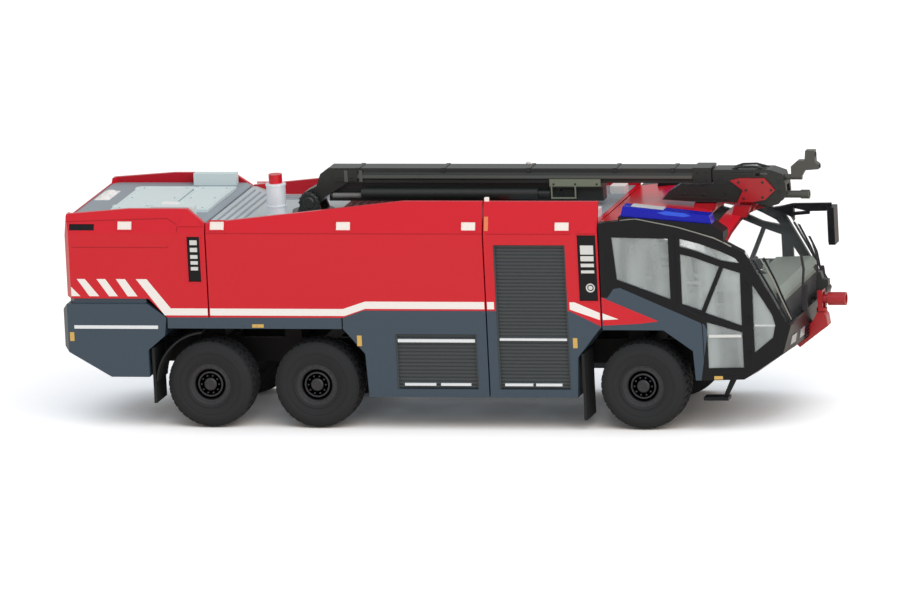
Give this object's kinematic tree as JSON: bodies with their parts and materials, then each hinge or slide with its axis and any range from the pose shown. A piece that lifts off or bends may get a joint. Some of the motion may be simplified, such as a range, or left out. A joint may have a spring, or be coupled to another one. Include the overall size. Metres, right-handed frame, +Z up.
{
  "type": "scale model airport fire truck",
  "caption": "Scale model of a long wheeled airport fire truck with a glazed cab, roller shutter lockers, a roof boom that slews, rises and extends, and a bumper monitor.",
  "frame": {"origin": "on the ground, midway between the tail lamps and the tip of the bumper monitor, on the centre plane", "axes": "+X the way the truck drives, +Y its left side, +Z up"},
  "size_m": [0.277, 0.0696, 0.0936],
  "materials": {
    "body_red": "glossy red paint",
    "skirt_grey": "satin blue grey",
    "roof_grey": "satin grey",
    "hatch_white": "satin pale grey",
    "shutter_grey": "satin dark grey",
    "cab_black": "glossy black",
    "clear": "clear",
    "clear_grey": "clear, slightly tinted",
    "interior_grey": "matt grey",
    "seat_black": "matt black",
    "blue_lens": "transparent blue",
    "light_clear": "clear lens",
    "lamp_white": "white lens",
    "tail_lens": "red lens",
    "stack_silver": "bright silver",
    "flap_black": "matt black",
    "monitor_red": "glossy dark red",
    "boom_black": "satin black",
    "boom_grey": "satin dark grey",
    "chassis_black": "matt black",
    "rim_grey": "satin dark grey",
    "tyre": "matt black rubber"
  },
  "bodies": {
    "truck": {"chassis": "chassis_black", "engine_bay_walls": "body_red", "tank_walls": "body_red", "front_body_walls": "body_red", "engine_deck": "roof_grey", "tank_deck": "roof_grey", "front_deck": "roof_grey", "roof_hatches": "hatch_white", "tail_skirt": "skirt_grey", "bogie_floor": "skirt_grey", "tank_lockers": "skirt_grey", "front_lockers": "skirt_grey", "low_shutters": "shutter_grey", "tall_shutters": "shutter_grey", "cab_frame": "cab_black", "cab_roof": "body_red", "windscreen": "clear", "side_glazing": "clear_grey", "cab_side_panels": "skirt_grey", "front_bumper": "cab_black", "cab_interior": "interior_grey", "seats": "interior_grey", "steering_wheel": "seat_black", "roof_light_bars": "blue_lens", "light_bar_bases": "cab_black", "light_panels": "cab_black", "warning_lights": "light_clear", "side_lamps": "lamp_white", "exhaust_stack": "stack_silver", "mudflaps": "flap_black", "cab_steps": "cab_black", "boom_cradle": "monitor_red", "shutter_rails": "stack_silver", "stack_cap": "body_red", "monitor_bracket": "monitor_red", "far_mirror": "cab_black", "wipers": "seat_black", "headlamps": "lamp_white", "tail_lamps": "tail_lens"},
    "rear_axle": {"rear_wheelset": "rim_grey", "rear_tyres": "tyre"},
    "middle_axle": {"middle_wheelset": "rim_grey", "middle_tyres": "tyre"},
    "front_axle": {"front_wheelset": "rim_grey", "front_tyres": "tyre"},
    "turntable": {"boom_turntable": "boom_black"},
    "boom": {"boom_outer": "boom_black", "extension_ram": "boom_black"},
    "boom_extension": {"boom_inner": "boom_grey", "boom_head": "boom_black", "head_side_plates": "monitor_red", "boom_camera": "boom_grey"},
    "nozzle": {"boom_nozzle": "boom_grey"},
    "monitor_pan": {"monitor_pan": "monitor_red", "monitor_sensor": "boom_black"},
    "monitor_barrel": {"monitor_barrel": "monitor_red"}
  },
  "joints": [
    {"name": "rear_axle_roll", "type": "hinge", "parent": "truck", "child": "rear_axle", "pos_m": [-0.0852, 0, 0.0157], "axis": [0, 1, 0], "continuous": true},
    {"name": "middle_axle_roll", "type": "hinge", "parent": "truck", "child": "middle_axle", "pos_m": [-0.0463, 0, 0.0157], "axis": [0, 1, 0], "continuous": true},
    {"name": "front_axle_roll", "type": "hinge", "parent": "truck", "child": "front_axle", "pos_m": [0.0718, 0, 0.0157], "axis": [0, 1, 0], "continuous": true},
    {"name": "boom_slew", "type": "hinge", "parent": "truck", "child": "turntable", "pos_m": [-0.053, 0, 0.0706], "axis": [0, 0, 1], "range_deg": [-8, 8]},
    {"name": "boom_raise", "type": "hinge", "parent": "turntable", "child": "boom", "pos_m": [-0.053, 0, 0.0757], "axis": [0, -1, 0], "range_deg": [0, 55]},
    {"name": "boom_extend", "type": "slide", "parent": "boom", "child": "boom_extension", "axis": [1, 0, 0], "range_m": [0, 0.052]},
    {"name": "nozzle_tilt", "type": "hinge", "parent": "boom_extension", "child": "nozzle", "pos_m": [0.113, 0, 0.0778], "axis": [0, -1, 0], "range_deg": [-35, 10]},
    {"name": "monitor_turn", "type": "hinge", "parent": "truck", "child": "monitor_pan", "pos_m": [0.1296, 0, 0.0361], "axis": [0, 0, 1], "range_deg": [-60, 60]},
    {"name": "monitor_tilt", "type": "hinge", "parent": "monitor_pan", "child": "monitor_barrel", "pos_m": [0.1296, 0, 0.0404], "axis": [0, -1, 0], "range_deg": [-10, 25]}
  ]
}
